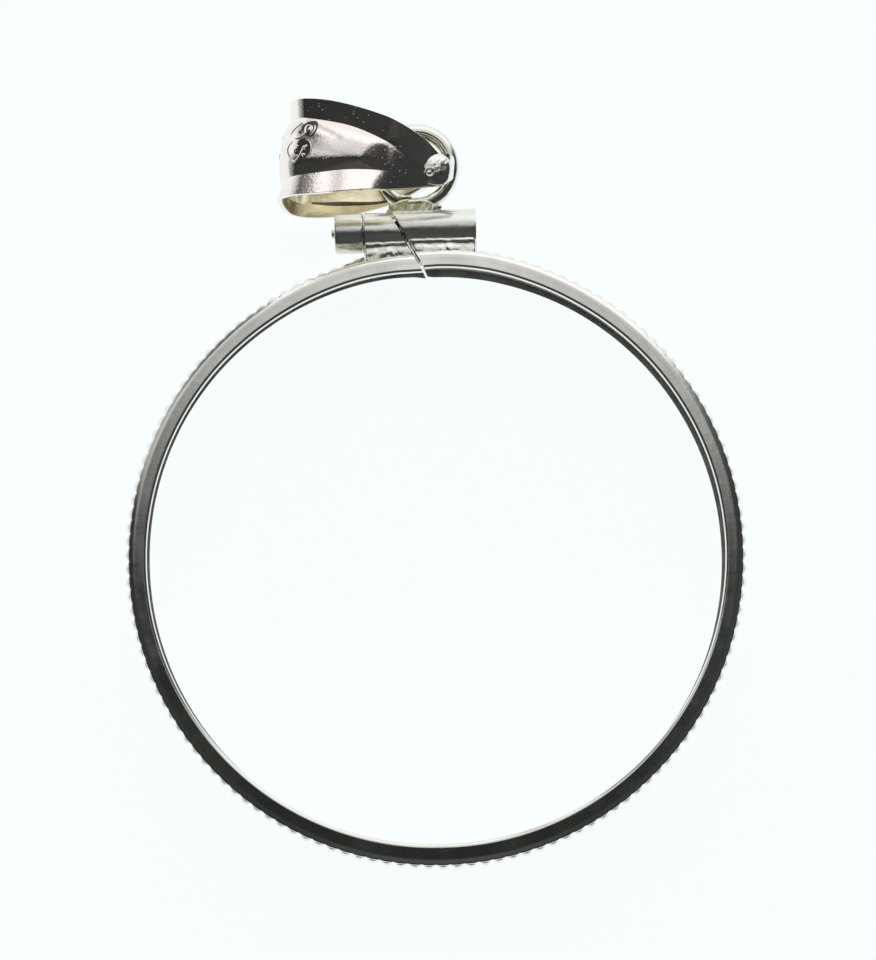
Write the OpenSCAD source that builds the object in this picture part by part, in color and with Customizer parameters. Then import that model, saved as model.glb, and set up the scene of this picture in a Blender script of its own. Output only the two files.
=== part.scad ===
// Screw-top coin bezel with a reeded edge, a soldered loop and a folded bail.
// It lies on its back. The origin is the middle of the coin seat, X runs along the
// closure tube, Y points from the coin towards the bail and Z out of the front face.

/* [Coin seat] */
// Diameter of the coin that the seat holds
coin_d = 38.1; // [37.5:0.1:39]
// Space left round the coin's edge
coin_play = 0.1; // [0.05:0.05:0.3]
// Height of the seat between the two lips
seat_h = 2.6; // [2:0.1:2.8]
// Distance that the front lip reaches in over the coin
front_lip = 0.32; // [0.3:0.02:0.8]
// Distance that the back lip reaches in over the coin
back_lip = 0.28; // [0.2:0.02:0.8]

/* [Bezel ring] */
// Height of the ring from its back face to its front face
ring_h = 3.4; // [3.2:0.1:4]
// Outer diameter of the plain rims
ring_d = 39.8; // [39.6:0.1:40.2]
// Radius of the rounded outer edge of each rim
rim_round = 0.33; // [0.15:0.01:0.4]
// Bevel on the inner edge of each lip
lip_bevel = 0.12; // [0.05:0.01:0.2]
// Number of ribs round the reeded edge
rib_count = 138; // [120:1:140]
// Radius of one rounded rib
rib_r = 0.41; // [0.3:0.01:0.43]
// Height of the reeded band
rib_h = 2.3; // [1.5:0.1:2.5]
// Distance that the ribs stand out from the rims
rib_proud = 0.3; // [0.1:0.01:0.4]

/* [Closure tube] */
// Outer diameter of the closure tube and of the screw's head
tube_d = 2.66; // [2.4:0.01:2.8]
// Distance from the origin to the tube's axis
tube_y = 21.6; // [21.5:0.1:22]
// Left end of the split tube
tube_left = -4.2; // [-5:0.1:-3.6]
// Right end of the split tube
tube_right = 3.2; // [2.6:0.1:5]
// Width of the slanting cut that opens the ring
slit_w = 0.12; // [0.08:0.01:0.2]
// Slant of the cut away from the Y axis, in degrees
slit_lean = 28.8; // [15:0.1:32]
// Place along the tube where the cut crosses its axis
slit_x = -1.85; // [-2.4:0.05:-0.8]
// Height of the solder web between the tube and the ring
web_h = 1.7; // [1:0.1:2.1]

/* [Closure screw] */
// Diameter of the screw's shank
shank_d = 1.6; // [1.2:0.1:1.8]
// Running clearance of the shank in its bore, each side
shank_play = 0.05; // [0.03:0.01:0.1]
// Length of the screw's head
head_len = 1.9; // [1.5:0.05:2.5]
// Gap between the head and the tube when the screw is home
head_gap = 0.06; // [0.04:0.01:0.1]
// Distance from the shank's tip to the tube's right end
tip_recess = 0.35; // [0.2:0.05:1]

/* [Loop] */
// Outside diameter of the soldered loop
loop_d = 5.8; // [5.6:0.05:5.9]
// Thickness of the loop's round wire
wire_d = 1; // [0.9:0.02:1.04]
// Place of the loop along the tube
loop_x = -0.72; // [-1.2:0.02:0]

/* [Bail] */
// Length of the bail from its eye to its fold
bail_len = 10.95; // [10.4:0.05:11.4]
// Width of the bail at its fold
bail_w = 6.56; // [6:0.02:7]
// Thickness of the bail's sheet
sheet_t = 0.35; // [0.28:0.01:0.4]
// Radius of the sheet's middle round the eye
eye_r = 0.85; // [0.82:0.01:0.95]
// Radius of the sheet's middle round the fold
fold_r = 1.9; // [1.8:0.05:2]
// Radius of the bulge of the front and back plates
plate_r = 12; // [11:0.5:14]
// Half width of the sheet at the eye
eye_half_w = 0.4; // [0.3:0.05:0.6]
// Half width of the raised panel at the fold
panel_half_w = 2; // [1.5:0.05:2.2]
// Height of the panel's crown above its edges
panel_crown = 0.42; // [0.2:0.02:0.5]
// Outward slope of the flared flanges, in degrees
flange_slope = 13; // [5:1:16]

/* [Bail at rest] */
// Direction in which the lying bail points, in degrees
bail_heading = 174; // [171:0.2:175]
// Downward slope of the lying bail towards its fold, in degrees
bail_pitch = 2.4; // [2.2:0.1:3]
// Lean of the lying bail about its own length, in degrees
bail_roll = 3.5; // [2:0.5:4]
// Height of the eye's centre
eye_z = 1.42; // [1.4:0.01:1.5]
// Distance from the loop's centre to the eye's centre, away from the fold
eye_back = 1.55; // [1.4:0.05:1.7]

/* [Hidden] */
$fn = 96;

silver = "#c9c9c6";
bright_silver = "#d8d6d4";

seat_r = coin_d / 2 + coin_play;
front_lip_r = seat_r - front_lip;
back_lip_r = seat_r - back_lip;
ring_r = ring_d / 2;
half_h = ring_h / 2;
half_seat = seat_h / 2;
// The reeded band is cut below the rims, and its ribs stand on that floor
band_depth = 0.15;
band_floor_r = ring_r - band_depth;
band_half = rib_h / 2;
rib_centre_r = ring_r + rib_proud - rib_r;
// Small overlap that joins solids which meet face to face
joint = 0.01;

tube_r = tube_d / 2;
shank_r = shank_d / 2;
bore_r = shank_r + shank_play;
loop_r = (loop_d - wire_d) / 2;
// Depth to which the loop sinks into the tube
loop_sink = 0.03;
loop_y = tube_y + tube_r + loop_d / 2 - loop_sink;

// Arc of points from one angle to another
function arc(cx, cy, r, from, to, steps) =
    [for (i = [0:steps]) let (a = from + (to - from) * i / steps) [cx + r * cos(a), cy + r * sin(a)]];

// Half section of the ring: a channel that holds the coin between two lips
round_steps = 3;
function ring_section() =
    let (c = rim_round, x = ring_r - rim_round, z = half_h - rim_round)
    concat(
        arc(x, -z, c, -90, 0, round_steps),
        [[ring_r, -band_half], [band_floor_r, -band_half],
         [band_floor_r, band_half], [ring_r, band_half]],
        arc(x, z, c, 0, 90, round_steps),
        [[front_lip_r + lip_bevel, half_h], [front_lip_r, half_h - lip_bevel],
         [front_lip_r, half_seat], [seat_r, half_seat],
         [seat_r, -half_seat], [back_lip_r, -half_seat],
         [back_lip_r, -half_h + lip_bevel], [back_lip_r + lip_bevel, -half_h]]
    );

module ring_body() {
    rotate_extrude($fn = 360) polygon(ring_section());
    for (i = [0:rib_count - 1])
        rotate((i + 0.5) * 360 / rib_count)
            translate([rib_centre_r, 0, -band_half - joint])
                cylinder(r = rib_r, h = rib_h + 2 * joint, $fn = 24);
}

module along_tube(x) {
    translate([x, tube_y, 0]) rotate([0, 90, 0]) children();
}

// Solder that fills the angle between the tube and the ring, from inside the ring's wall
web_foot_r = ring_r - 0.25;
web_root_y = ring_r - 1.2;
web_top_y = tube_y - 0.4;
// Run-out of that solder along the ring, to the left of the tube: places from the tube's end and the ring's top
runout = [[0, 0.25], [-0.3, 0], [-1.9, -0.55], [-2.1, -1.1], [0, -0.9]];
module web() {
    linear_extrude(web_h, center = true)
        difference() {
            union() {
                translate([tube_left, web_root_y])
                    square([tube_right - tube_left, web_top_y - web_root_y]);
                translate([tube_left, ring_r]) polygon(runout);
            }
            circle(r = web_foot_r, $fn = 360);
        }
}

// Solder saddle that fills the angle on each side of the loop's foot
saddle_left = loop_x - 1.95;
saddle_right = loop_x + 1.6;
saddle_rise = 0.75;
saddle_sink = 0.4;
saddle_t = 0.8;
// Distance that the saddle stays below the wire's inner side
saddle_clear = 0.15;
module saddle() {
    top = tube_y + tube_r;
    linear_extrude(saddle_t, center = true)
        difference() {
            polygon([[saddle_left, top - saddle_sink], [saddle_left + 0.1, top + 0.1],
                     [saddle_left + 0.5, top + 0.6 * saddle_rise],
                     [saddle_left + 1, top + saddle_rise],
                     [saddle_right - 0.7, top + saddle_rise],
                     [saddle_right - 0.35, top + 0.45 * saddle_rise],
                     [saddle_right, top - saddle_sink]]);
            translate([loop_x, loop_y]) circle(r = loop_r - wire_d / 2 + saddle_clear);
        }
}

module loop() {
    translate([loop_x, loop_y, 0]) rotate_extrude()
        translate([loop_r, 0]) circle(d = wire_d, $fn = 32);
}

// Slanting cut through the tube, the web and the ring
slit_len = 5.6;
slit_below = 1.25;
module slit() {
    translate([slit_x, tube_y, 0]) rotate([0, 0, slit_lean])
        translate([0, -slit_below, 0]) cube([slit_w, slit_len, ring_h + 1], center = true);
}

module bezel_frame() {
    color(silver) difference() {
        union() {
            ring_body();
            web();
            along_tube(tube_left) cylinder(r = tube_r, h = tube_right - tube_left);
            saddle();
            loop();
        }
        along_tube(tube_left - 1) cylinder(r = bore_r, h = tube_right - tube_left + 2);
        slit();
    }
}

// Low domed end of the shank, which shows in the middle of the head
nub_h = 0.25;
nub_foot_r = 0.42;
nub_tip_r = 0.3;
module closure_screw() {
    head_x = tube_left - head_gap - head_len;
    color(silver) {
        along_tube(head_x) cylinder(r = tube_r, h = head_len);
        along_tube(head_x + 1) cylinder(r = shank_r, h = tube_right - tip_recess - head_x - 1);
        along_tube(head_x - nub_h)
            cylinder(r1 = nub_tip_r, r2 = nub_foot_r, h = nub_h + joint, $fn = 48);
    }
}

// Bail. Its strip follows three tangent arcs on each side, which are the eye, the bulging
// plate and the fold. u runs from the eye's centre to the fold, w outwards from the middle.
fold_u = bail_len - eye_r - fold_r - sheet_t;
plate_u = (fold_u * fold_u + pow(plate_r - eye_r, 2) - pow(plate_r - fold_r, 2)) / (2 * fold_u);
plate_w = sqrt(pow(plate_r - eye_r, 2) - plate_u * plate_u);
eye_end = atan2(plate_w, -plate_u);
fold_start = atan2(plate_w, fold_u - plate_u);

// Stations of the front half, from the tip of the eye to the tip of the fold
eye_steps = 7;
plate_steps = 12;
fold_steps = 8;
function station(cu, cw, r, a) = [cu + r * cos(a), cw + r * sin(a), a];
front_stations = concat(
    [for (i = [0:eye_steps - 1]) station(0, 0, eye_r, 180 + (eye_end - 180) * i / eye_steps)],
    [for (i = [0:plate_steps - 1])
        station(plate_u, -plate_w, plate_r, eye_end + (fold_start - eye_end) * i / plate_steps)],
    [for (i = [0:fold_steps]) station(fold_u, 0, fold_r, fold_start * (1 - i / fold_steps))]
);
last = len(front_stations) - 1;
// Rows of the sweep: [u, w, direction of the outward normal, 1 in front or 0 at the back]
bail_rows = concat(
    [for (s = front_stations) [s[0], s[1], s[2], 1]],
    [for (i = [last - 1:-1:1]) let (s = front_stations[i]) [s[0], -s[1], -s[2], 0]]
);

// Half width of the strip, which swells from the eye to the fold, more slowly at the back
front_swell = 0.85;
back_swell = 1.34;
function half_w(u, front) =
    let (part = min(1, (u + eye_r + sheet_t / 2) / bail_len))
    eye_half_w + (bail_w / 2 - eye_half_w) * pow(1 - pow(1 - part, 2), front == 1 ? front_swell : back_swell);
// The strip is bent a little to the tube's side, most of all in front beside the eye's centre
eye_shift = 0.62;
tip_shift = 0.2;
function side_shift(u, front) =
    front == 0 ? tip_shift * pow(max(0, 1 - (u + eye_r) / 4), 2)
    : u > 0 ? eye_shift * pow(max(0, 1 - u / 6), 2)
    : tip_shift + (eye_shift - tip_shift) * (1 + u / eye_r);
// Half width of the raised panel, which runs from a rounded point near the eye
panel_start = 1.9;
panel_run = 7.3;
panel_power = 0.48;
// Least share of the panel's run, and most share of the strip's half width that the panel takes
least_run = 0.004;
most_panel = 0.7;
function panel_w(u) = panel_half_w * pow(max(least_run, (u - panel_start) / panel_run), panel_power);
// Height of either face above its valley, where the panel and the flanges meet. The flanges
// start to flare beside the eye, and a panel narrower than full_crown_w has a lower crown
flare_start = -0.4;
flare_run = 1.6;
full_crown_w = 0.9;
hair = 0.001;
function rise(u, v, p) =
    let (fade = min(1, max(0, (u - flare_start) / flare_run)))
    abs(v) < p - hair
        ? panel_crown * (1 - pow(v / p, 2)) * min(1, p / full_crown_w)
        : fade * tan(flange_slope) * (abs(v) - p);

// Places across the strip as shares, first of the panel and then of the flange beside it
outer_across = [[-1, 1], [-1, 0.5], [-1, 0.12], [-1, 0], [-0.55, 0], [0, 0],
                [0.55, 0], [1, 0], [1, 0.12], [1, 0.5], [1, 1]];
inner_across = [[1, 1], [1, 0], [0, 0], [-1, 0], [-1, 1]];
function across(share, p, half) = share[0] * (p + share[1] * (half - p));

// Points of one face of the strip, at the given distance from the middle of the sheet
function face_points(row, places, offset) =
    let (u = row[0], w = row[1], a = row[2], front = row[3])
    let (half = half_w(u, front), p = min(panel_w(u), half * most_panel), shift = side_shift(u, front))
    [for (q = places)
        let (v = across(q, p, half), o = offset + rise(u, v, p))
        [u + o * cos(a), v + shift, w + o * sin(a)]];
function bail_section(row) =
    concat(face_points(row, outer_across, sheet_t / 2), face_points(row, inner_across, -sheet_t / 2));

module bail_strip() {
    rows = len(bail_rows);
    cols = len(outer_across) + len(inner_across);
    points = [for (row = bail_rows) each bail_section(row)];
    faces = [for (i = [0:rows - 1]) for (j = [0:cols - 1])
        let (i2 = (i + 1) % rows, j2 = (j + 1) % cols)
        each [[i * cols + j, i * cols + j2, i2 * cols + j2],
              [i * cols + j, i2 * cols + j2, i2 * cols + j]]];
    polyhedron(points, faces, convexity = 6);
}

// Solder pad that closes the strip on the front of the eye, with its length, width and height
pad_size = [1.9, 2.1, 0.76];
pad_place = [0.28, eye_shift - 0.05, eye_r + sheet_t / 2 - 0.05];
pad_tilt = -13;
module solder_pad() {
    rotate([0, pad_tilt, 0]) translate(pad_place) scale(pad_size / 2) sphere(r = 1, $fn = 24);
}

// Raised scrolls across the front of the fold: a C-scroll and two curls in each group
scroll_angle = 56;
scroll_step = 1.25;
scroll_wire_r = 0.09;
scroll_sink = 0.03;
scroll_facet = 36;
leaf_r = 0.4;
leaf_along = 0.35;
leaf_open = 150;
curl_r = 0.17;
curl_along = -0.2;
curl_across = 0.24;

// Ring of round wire, open on one side, that lies half sunk in the panel's surface
module curl(r, along, across, open = 0) {
    crown = panel_crown * (1 - pow(across / panel_half_w, 2));
    tilt = atan(2 * panel_crown * across / pow(panel_half_w, 2));
    steps = round((360 - open) / scroll_facet);
    turn = along / fold_r * 180 / PI;
    translate([fold_u, 0, 0]) rotate([0, turn - scroll_angle, 0])
        translate([fold_r + sheet_t / 2 + crown - scroll_sink, across, 0])
            rotate([0, 0, tilt]) rotate([0, 90, 0])
                for (i = [0:steps - 1]) hull() for (k = [i, i + 1])
                    rotate(open / 2 + (360 - open) * k / steps)
                        translate([r, 0, 0]) sphere(r = scroll_wire_r, $fn = 8);
}

module scrolls() {
    for (i = [-1:1]) {
        curl(leaf_r, leaf_along, i * scroll_step, leaf_open);
        for (side = [-1, 1]) curl(curl_r, curl_along, i * scroll_step + side * curl_across);
    }
}

module bail() {
    color(bright_silver)
        translate([loop_x, loop_y, 0]) rotate([0, 0, bail_heading])
            translate([-eye_back, 0, eye_z]) rotate([0, bail_pitch, 0]) rotate([bail_roll, 0, 0]) {
                bail_strip();
                solder_pad();
                scrolls();
            }
}

bezel_frame();
closure_screw();
bail();
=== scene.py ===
"""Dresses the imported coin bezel: fine surfaces and silver finishes for the ring, tube, loop, screw and
bail."""

import math

import bpy
import numpy as np
from bpy.props import FloatProperty, FloatVectorProperty, IntProperty, PointerProperty
from mathutils import Matrix, Vector
from mathutils.geometry import tessellate_polygon


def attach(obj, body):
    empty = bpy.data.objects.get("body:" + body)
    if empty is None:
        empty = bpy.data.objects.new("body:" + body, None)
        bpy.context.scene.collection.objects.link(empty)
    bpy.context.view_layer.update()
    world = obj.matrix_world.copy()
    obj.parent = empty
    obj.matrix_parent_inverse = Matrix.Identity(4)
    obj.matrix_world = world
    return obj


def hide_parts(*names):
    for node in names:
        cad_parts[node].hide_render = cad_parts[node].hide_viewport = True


bl_info = {
    "name": "Coin Bezel",
    "version": (1, 0, 0),
    "blender": (4, 5, 0),
    "location": "View3D > Sidebar > Coin Bezel",
    "description": "Builds a silver coin bezel with a reeded edge, closing screw, loop and bail",
    "category": "Add Mesh",
}

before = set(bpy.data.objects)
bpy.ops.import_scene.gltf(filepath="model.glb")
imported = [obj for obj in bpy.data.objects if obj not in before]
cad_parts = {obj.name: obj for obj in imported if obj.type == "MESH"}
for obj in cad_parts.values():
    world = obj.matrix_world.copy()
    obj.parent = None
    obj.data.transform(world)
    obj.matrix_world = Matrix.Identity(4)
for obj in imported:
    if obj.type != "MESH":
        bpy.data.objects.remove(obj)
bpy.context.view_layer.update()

MM, MICRON = 0.001, 0.000001


def hex_to_linear(code):
    """Linear colour of an sRGB hex value such as 'c9c9c6'."""
    shares = [int(code[i:i + 2], 16) / 255 for i in (0, 2, 4)]
    return tuple(c / 12.92 if c <= 0.04045 else ((c + 0.055) / 1.055) ** 2.4 for c in shares)


def length(name, text, value):
    """Property for a length in metres, with its default in millimetres."""
    return FloatProperty(name=name, description=text, default=value * MM, min=0, unit="LENGTH", precision=5)


def colour(name, text, code):
    """Property for a colour, with its default as an sRGB hex value."""
    return FloatVectorProperty(name=name, description=text, default=hex_to_linear(code), size=3,
                               min=0, max=1, subtype="COLOR")


class BezelSizes(bpy.types.PropertyGroup):
    ring_d: length("Ring", "Outer diameter of the plain rims", 39.8)
    ring_h: length("Ring height", "Height of the ring from back to front", 3.4)
    seat_d: length("Seat", "Diameter of the groove that holds the coin", 38.3)
    front_lip_d: length("Front lip", "Inner diameter of the front lip", 37.66)
    back_lip_d: length("Back lip", "Inner diameter of the back lip", 37.74)
    rib_count: IntProperty(name="Ribs", description="Number of ribs round the edge", default=138, min=60)
    rib_proud: length("Rib height", "Distance that the ribs stand out from the rims", 0.3)
    tube_d: length("Tube", "Outer diameter of the closure tube", 2.66)
    slit_w: length("Cut", "Width of the slanting cut", 0.12)
    slit_lean: FloatProperty(name="Slant", description="Slant of the cut away from the Y axis",
                             default=math.radians(28.8), subtype="ANGLE", unit="ROTATION")
    shank_d: length("Shank", "Diameter of the closing screw's shank", 1.6)
    thread_depth: length("Thread depth", "Depth of the thread on the shank", 0.1)
    thread_pitch: length("Thread pitch", "Distance between two turns of the thread", 0.35)
    loop_d: length("Loop", "Outside diameter of the loop", 5.8)
    wire_d: length("Loop wire", "Thickness of the loop's wire", 1)
    bail_len: length("Bail length", "Length of the bail from eye to fold", 11.15)
    bail_w: length("Bail width", "Width of the bail at its fold", 6.56)
    sheet_t: length("Bail sheet", "Thickness of the bail's sheet", 0.35)


class BezelColours(bpy.types.PropertyGroup):
    ring_silver: colour("Ring", "Polished sterling silver of the ring", "f2f1ec")
    tube_silver: colour("Tube", "Drawn sterling silver of the tube and screw", "eff0ea")
    solder: colour("Solder", "Silver solder, a little greener and duller", "f6f6ea")
    bail_silver: colour("Bail", "Polished sterling silver of the bail", "f8f1ed")
    tarnish: colour("Tarnish", "Thin yellow film inside the bail", "faf2d9")
    floor_white: colour("Floor", "Pale plain floor", "f9ffff")


def millimetres():
    """Lengths of the panel in millimetres, and its other values as they are."""
    sizes, found = bpy.context.scene.bezel_sizes, {}
    for prop in sizes.bl_rna.properties:
        if prop.identifier in {"rna_type", "name"}:
            continue
        value = getattr(sizes, prop.identifier)
        found[prop.identifier] = value / MM if prop.unit == "LENGTH" else value
    return type("Sizes", (), found)


# Places that the part's source fixes, in mm
TUBE_Y = 21.6
TUBE_LEFT, TUBE_RIGHT = -4.2, 3.2
SLIT_X = -1.85
HEAD_GAP, HEAD_LEN = 0.06, 1.9
SHANK_TIP = 2.85
LOOP_X, LOOP_SINK = -0.72, 0.03


def smooth_step(t):
    """Zero below 0, one above 1, with a smooth cubic between."""
    t = np.clip(t, 0, 1)
    return t * t * (3 - 2 * t)


def ramp(x, start, run):
    """The smooth step, from 0 at its start to 1 after its run."""
    return smooth_step((x - start) / run)


def ripple(points, size, seed, octaves=3, waves=8):
    """Smooth noise between about -1 and 1: a sum of plane waves near the given length, then of shorter and
    weaker ones. The sum of eight waves seldom passes 5."""
    rng = np.random.default_rng(seed)
    total = np.zeros(points.shape[:-1])
    for octave in range(octaves):
        way = rng.normal(size=(3, waves))
        way /= np.linalg.norm(way, axis=0)
        wave = size / 2 ** octave * rng.uniform(0.7, 1.4, waves)
        phase = rng.uniform(0, math.tau, waves)
        total += np.sin(points @ (way / wave) * math.tau + phase).sum(-1) / 5 / 2 ** octave
    return total


def grid_faces(rows, columns, close_rows, close_columns):
    """Quads of a grid of points, numbered row by row, joined at its edges where it closes."""
    i = np.arange(rows if close_rows else rows - 1)[:, None]
    j = np.arange(columns if close_columns else columns - 1)[None, :]
    i2, j2 = (i + 1) % rows, (j + 1) % columns
    corners = [i * columns + j, i * columns + j2, i2 * columns + j2, i2 * columns + j]
    return np.stack(corners, -1).reshape(-1, 4)


def outward(points, quads, tris):
    """The same closed surface with its faces turned outwards: its volume, the sum of signed tetrahedra, is
    then positive."""
    fan = np.concatenate([quads[:, [0, 1, 2]], quads[:, [0, 2, 3]], tris])
    a, b, c = (points[fan[:, k]] for k in range(3))
    if np.einsum("ij,ij->", a, np.cross(b, c)) < 0:
        quads, tris = quads[:, ::-1], tris[:, ::-1]
    return points, quads, tris


def swept(sections, closed=False, caps="fan", marks=0):
    """Closed surface through a row of closed outlines: point (i, j) is outline i at place j. Unless the row
    itself closes, each end is capped, by a fan round its middle or by triangles of its outline. marks is
    the number of the faces' material, for all, for each place of the outline or for each point."""
    rows, columns = sections.shape[:2]
    points, tris = sections.reshape(-1, 3), np.zeros((0, 3), int)
    quads = grid_faces(rows, columns, closed, True)
    if not closed and caps == "fan":
        j = np.arange(columns)
        first, last = len(points), len(points) + 1
        end = (rows - 1) * columns
        points = np.concatenate([points, sections[0].mean(0)[None], sections[-1].mean(0)[None]])
        tris = np.concatenate([np.stack([(j + 1) % columns, j, np.full(columns, first)], -1),
                               np.stack([end + j, end + (j + 1) % columns, np.full(columns, last)], -1)])
    elif not closed:
        near, far = (turned(np.array(tessellate_polygon([[Vector(p) for p in outline]])), columns)
                     for outline in (sections[0], sections[-1]))
        tris = np.concatenate([near, far[:, ::-1] + (rows - 1) * columns])
    marks = np.broadcast_to(marks, (rows, columns)).reshape(-1)[:len(quads)]
    return *outward(points, quads, tris), np.concatenate([marks, np.zeros(len(tris), int)])


def turned(tris, count):
    """Triangles of a cap, ordered so that the outline's own edges run backwards along the strip that they
    close."""
    following = {(int(a), int(b)) for t in tris for a, b in ((t[0], t[1]), (t[1], t[2]), (t[2], t[0]))}
    forward = sum((j, (j + 1) % count) in following for j in range(count))
    return tris[:, ::-1] if forward > count / 2 else tris


def make_piece(name, shells, body, materials, sharp=38):
    """One mesh object from closed shells, each points in mm, quads, triangles and the faces' materials,
    riding on a body. Edges sharper than the given degrees stay sharp."""
    points, corners, counts, start = [], [], [], 0
    for shell_points, quads, tris, _ in shells:
        points.append(shell_points)
        for faces in (quads, tris):
            corners.append((faces + start).ravel())
            counts.append(np.full(len(faces), faces.shape[1]))
        start += len(shell_points)
    points, corners, counts = np.concatenate(points), np.concatenate(corners), np.concatenate(counts)
    marks = np.concatenate([shell[3] for shell in shells])
    mesh = bpy.data.meshes.new(name)
    mesh.vertices.add(len(points))
    mesh.vertices.foreach_set("co", (points * MM).astype(np.float32).ravel())
    mesh.loops.add(len(corners))
    mesh.loops.foreach_set("vertex_index", corners.astype(np.int32))
    mesh.polygons.add(len(counts))
    mesh.polygons.foreach_set("loop_start", (np.cumsum(counts) - counts).astype(np.int32))
    for material in materials:
        mesh.materials.append(material)
    mesh.polygons.foreach_set("material_index", marks.astype(np.int32))
    mesh.update(calc_edges=True)
    mesh.validate()
    mesh.shade_smooth()
    mesh.set_sharp_from_angle(angle=math.radians(sharp))
    piece = bpy.data.objects.new(name, mesh)
    bpy.context.scene.collection.objects.link(piece)
    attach(piece, body)
    return piece


def add_node(tree, kind, settings=(), inputs=()):
    """Adds a node, sets its own settings, and fills or links its inputs."""
    node = tree.nodes.new(kind)
    for key, value in dict(settings).items():
        setattr(node, key, value)
    for key, value in dict(inputs).items():
        if isinstance(value, bpy.types.NodeSocket):
            tree.links.new(value, node.inputs[key])
        else:
            node.inputs[key].default_value = value
    return node


def shade(rgb, share):
    """A colour made darker or lighter by a share, with its alpha."""
    return tuple(min(1, c * share) for c in rgb) + (1,)


def arc(cx, cy, radius, start, end, count):
    """Points of a circle's arc from one angle to another, in degrees."""
    a = np.radians(np.linspace(start, end, count))
    return np.stack([cx + radius * np.cos(a), cy + radius * np.sin(a)], -1)


# Width in mm of the duller patches on all the silver, and distance between the pits of the stamped sheet
PATCH_W, PIT_STEP = 1.3, 0.3


def silver_finish(name, tone, gloss, peel, grain, cloud=0.94, streak=(1, 1, 1), pits=0.0, metallic=1.0):
    """Sterling silver: an untinted mirror whose unevenness scatters the edges of what it reflects. gloss is
    its lowest and highest roughness, peel and grain the width in mm and height in micrometres of its broad
    and fine unevenness, cloud the tone of its duller places, streak the stretch of it all along each axis,
    pits the depth in micrometres of its scattered pits. Real grain is finer than a pixel of the render, so
    it is drawn as coarse as it needs to show."""
    material = bpy.data.materials.new(name)
    material.use_nodes = True
    tree = material.node_tree
    shader = tree.nodes["Principled BSDF"]
    place = add_node(tree, "ShaderNodeTexCoord").outputs["Object"]
    place = add_node(tree, "ShaderNodeMapping", inputs={"Vector": place, "Scale": streak}).outputs["Vector"]
    broad, fine, patches = (
        add_node(tree, "ShaderNodeTexNoise",
                 inputs={"Vector": place, "Scale": 1 / (width * MM), "Detail": detail}).outputs["Fac"]
        for width, detail in ((peel[0], 2.0), (grain[0], 3.0), (PATCH_W, 4.0)))
    bumps = [(broad, peel[1]), (fine, grain[1])]
    if pits:
        cells = add_node(tree, "ShaderNodeTexVoronoi", inputs={"Vector": place, "Scale": 1 / (PIT_STEP * MM)})
        holes = add_node(tree, "ShaderNodeMapRange", {"interpolation_type": "SMOOTHSTEP"},
                         {"Value": cells.outputs["Distance"], "From Min": 0.02, "From Max": 0.2})
        bumps.append((holes.outputs["Result"], pits))
    normal = {}
    for height, deep in bumps:
        bump = add_node(tree, "ShaderNodeBump",
                        inputs={"Height": height, "Distance": deep * MICRON, **normal})
        normal = {"Normal": bump.outputs["Normal"]}
    rough = add_node(tree, "ShaderNodeMapRange", inputs={
        "Value": patches, "From Min": 0.3, "From Max": 0.7, "To Min": gloss[0], "To Max": gloss[1]})
    dull = add_node(tree, "ShaderNodeMapRange", inputs={"Value": patches, "From Min": 0.35, "From Max": 0.75})
    tint = add_node(tree, "ShaderNodeMix", {"data_type": "RGBA"},
                    {"Factor": dull.outputs["Result"], "A": shade(tone, 1), "B": shade(tone, cloud)})
    tree.links.new(tint.outputs["Result"], shader.inputs["Base Color"])
    tree.links.new(rough.outputs["Result"], shader.inputs["Roughness"])
    tree.links.new(normal["Normal"], shader.inputs["Normal"])
    shader.inputs["Metallic"].default_value = metallic
    return material


# The ring's two ends don't meet true: the left one is pulled in, and the right one stands out a little.
# Angle in degrees from +X, and distance in mm that the rim stands out there
RIM_OUT = ((0, 0), (60, 0), (70, 0.04), (78, 0.09), (84, 0.07), (88, 0.03), (91.2, -0.03))
RIM_IN = ((91.2, -0.27), (94, -0.26), (96, -0.22), (100, -0.18), (104, -0.15), (125, -0.14), (140, -0.08),
          (160, -0.05), (200, 0), (360, 0))
# Degrees over which the ring's ends follow the cut's slant and lean, and radius in mm of the wall's middle
NEAR_CUT, WALL_MIDDLE = 7, 19.5


def cut_angle(sizes, radius, side):
    """Angle in radians at which a circle round the seat meets the cut: where its point's distance along the
    cut's normal is that of the cut's face. side is -1 for the face on the left and 1 for the one on the
    right."""
    lean = sizes.slit_lean
    reach = SLIT_X * math.cos(lean) + TUBE_Y * math.sin(lean) + side * sizes.slit_w / 2
    return lean + np.arccos(reach / radius)


def cut_x(sizes, y, side):
    """Place along the tube of one face of the cut at a height y: it moves left as y rises, by the slant's
    tangent."""
    half_gap = sizes.slit_w / 2 / math.cos(sizes.slit_lean)
    return SLIT_X - (y - TUBE_Y) * math.tan(sizes.slit_lean) + side * half_gap


# Rounding of the rims in mm: width, radius and drop of the crown, radius of its outer edge and of the lips'
# edge, and the straight side below the outer edge
CROWN_W, CROWN_R, CROWN_DROP, EDGE_R, LIP_ROUND, SIDE_H = 0.37, 0.57, 0.005, 0.14, 0.17, 0.03
# Shallow dish of the rims' flat face, a few micrometres deep: distance out from the lip, and height
DISH = ((0.6, -0.0042), (0.53, -0.0042), (0.44, -0.0036), (0.29, -0.0012), (0.19, 0))
# Distance that the rims stand out past the ring's own radius, and that the ribs stand out more than the
# solid's
RIM_PROUD, RIB_MORE = 0.08, 0.1
# Share of the ribs' wave that the rims' outer edge takes on, and how far in it reaches
EDGE_WAVE, WAVE_IN = 0.09, 0.14
# Half heights of the seat and the reeded band, depth of the band's floor, and radius of a rib
SEAT_HALF, BAND_HALF, BAND_DEPTH, RIB_R = 1.3, 1.17, 0.15, 0.41
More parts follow.
